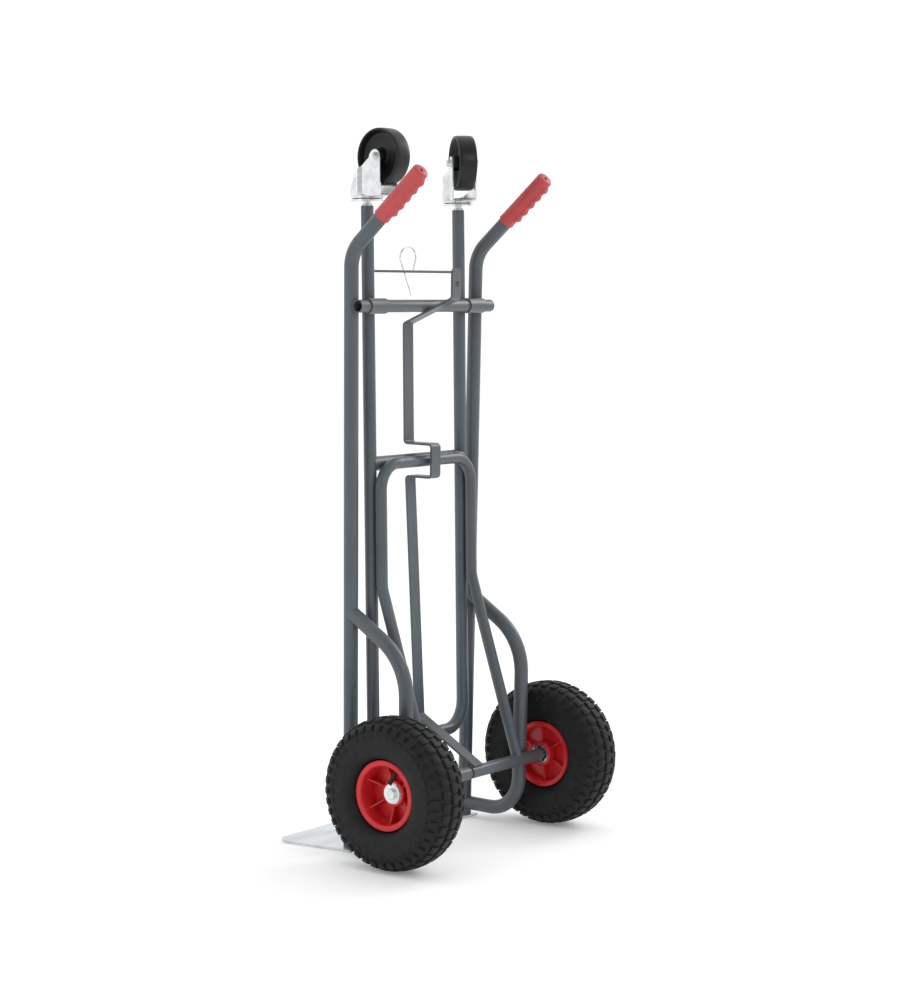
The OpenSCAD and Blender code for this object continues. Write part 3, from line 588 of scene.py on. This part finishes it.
def makeRim():
    inside, outside, slope = rim["hubRadius"] - rim["lap"], rim["barrel"] + rim["lap"], rim["webSlope"]
    web = ringStack([(inside, rim["webOut"]), (outside, rim["webOut"] + slope),
                     (outside, rim["webIn"] - slope), (inside, rim["webIn"])], rim["around"])
    parts = [ringStack(bothHalves(rim["half"]), rim["around"]), makeHub(), web]
    for index in range(rim["ribs"]):
        turn = math.radians(rim["firstRib"] + index * 360 / rim["ribs"])
        parts.append(makeRib(inside, outside, turn))
    return joinPieces(parts)


leftRim = finishPiece(makeRim(), "left_ribbed_rim", rimRed, wheelPlace("left"), 32)
rightRim = copyPiece(leftRim, "right_ribbed_rim", mirrorX)
for side, piece in (("left", leftRim), ("right", rightRim)):
    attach(piece, side + "_wheel")
    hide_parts(side + "_rim")
print("rims made")


studio = {
    "floorSize": 60.0, "floorDrop": 0.0005, "floorTones": ("#f7f7f7", "#fafafa"), "floorGlow": 0.16,
    "fibreMm": 25.0, "sky": "#ffffff", "skyStrength": 1.12, "roomDark": "#b4b7b9", "darkSide": (0.75, 0.60, 0.28),
    "lightSize": 1.2,
    # each soft light: its place, what it points at, and its power
    "lights": {"key": ((1.2, 3.4, 2.6), (0, 0, 0.7), 16.0), "fill": ((3.6, -0.8, 1.8), (0, 0, 0.6), 7.0),
               "back": ((-2.4, 0.8, 2.2), (0, 0, 0.7), 22.0)},
}


def makeFloor():
    clearSelection()
    bpy.ops.mesh.primitive_plane_add(size=studio["floorSize"], location=(0, 0, -studio["floorDrop"]))
    floor = bpy.context.object
    floor.name = "studio_floor"
    # seamless background paper: matt, almost white, with its fibres only just seen
    paper, shader, coords = newMaterial("pale seamless paper", {
        "Roughness": 0.9, "IOR": 1.3, "Emission Color": hexColour("#ffffff"),
        "Emission Strength": studio["floorGlow"]})
    fibres = addNode(paper, "ShaderNodeTexNoise", {"Scale": 1000 / studio["fibreMm"], "Detail": 3.0},
                     {"Vector": (coords, "Object")})
    ramp = twoTones(paper, fibres, "Fac", (0.3, 0.7), studio["floorTones"])
    link(paper, ramp, "Color", shader, "Base Color")
    floor.data.materials.append(paper)


def makeSky():
    # white all round, greyer on the side that the dark paint and the plating reflect
    world = bpy.data.worlds.new("studio sky")
    world.use_nodes = True
    background = world.node_tree.nodes["Background"]
    background.inputs["Strength"].default_value = studio["skyStrength"]
    coords = addNode(world, "ShaderNodeTexCoord")
    facing = addNode(world, "ShaderNodeVectorMath", {"operation": "DOT_PRODUCT"},
                     {0: (coords, "Generated")})
    facing.inputs[1].default_value = studio["darkSide"]
    shade = addNode(world, "ShaderNodeMapRange", {"From Min": 0.1, "From Max": 0.9},
                    {"Value": (facing, "Value")})
    ramp = twoTones(world, shade, "Result", (0.0, 1.0), (studio["sky"], studio["roomDark"]))
    link(world, ramp, "Color", background, "Color")
    bpy.context.scene.world = world


def softBox(name, place, target, power):
    clearSelection()
    bpy.ops.object.light_add(type="AREA", location=place)
    light = bpy.context.object
    light.name = name
    light.data.energy = power
    light.data.size = studio["lightSize"]
    aim = Vector(target) - Vector(place)
    light.rotation_euler = aim.to_track_quat("-Z", "Y").to_euler()


cameraView = {
    "place": (3.23163, 2.53140, 0.99416), "azimuth": 127.161, "down": 5.527, "roll": 0.753,
    "lens": 93.493, "sensor": 36.0, "reach": 60,
}


def makeCamera():
    clearSelection()
    bpy.ops.object.camera_add(location=cameraView["place"])
    camera = bpy.context.object
    camera.data.sensor_fit = "HORIZONTAL"
    camera.data.sensor_width = cameraView["sensor"]
    camera.data.lens = cameraView["lens"]
    camera.data.clip_end = cameraView["reach"]
    turn = (Matrix.Rotation(math.radians(cameraView["azimuth"]), 3, "Z")
            @ Matrix.Rotation(math.radians(90 - cameraView["down"]), 3, "X")
            @ Matrix.Rotation(math.radians(cameraView["roll"]), 3, "Z"))
    camera.rotation_euler = turn.to_euler()
    bpy.context.scene.camera = camera


makeFloor()
makeSky()
for lightName, (place, target, power) in studio["lights"].items():
    softBox(lightName, place, target, power)
makeCamera()
bpy.context.scene.view_settings.view_transform = "Standard"
print("studio ready")

clearSelection()
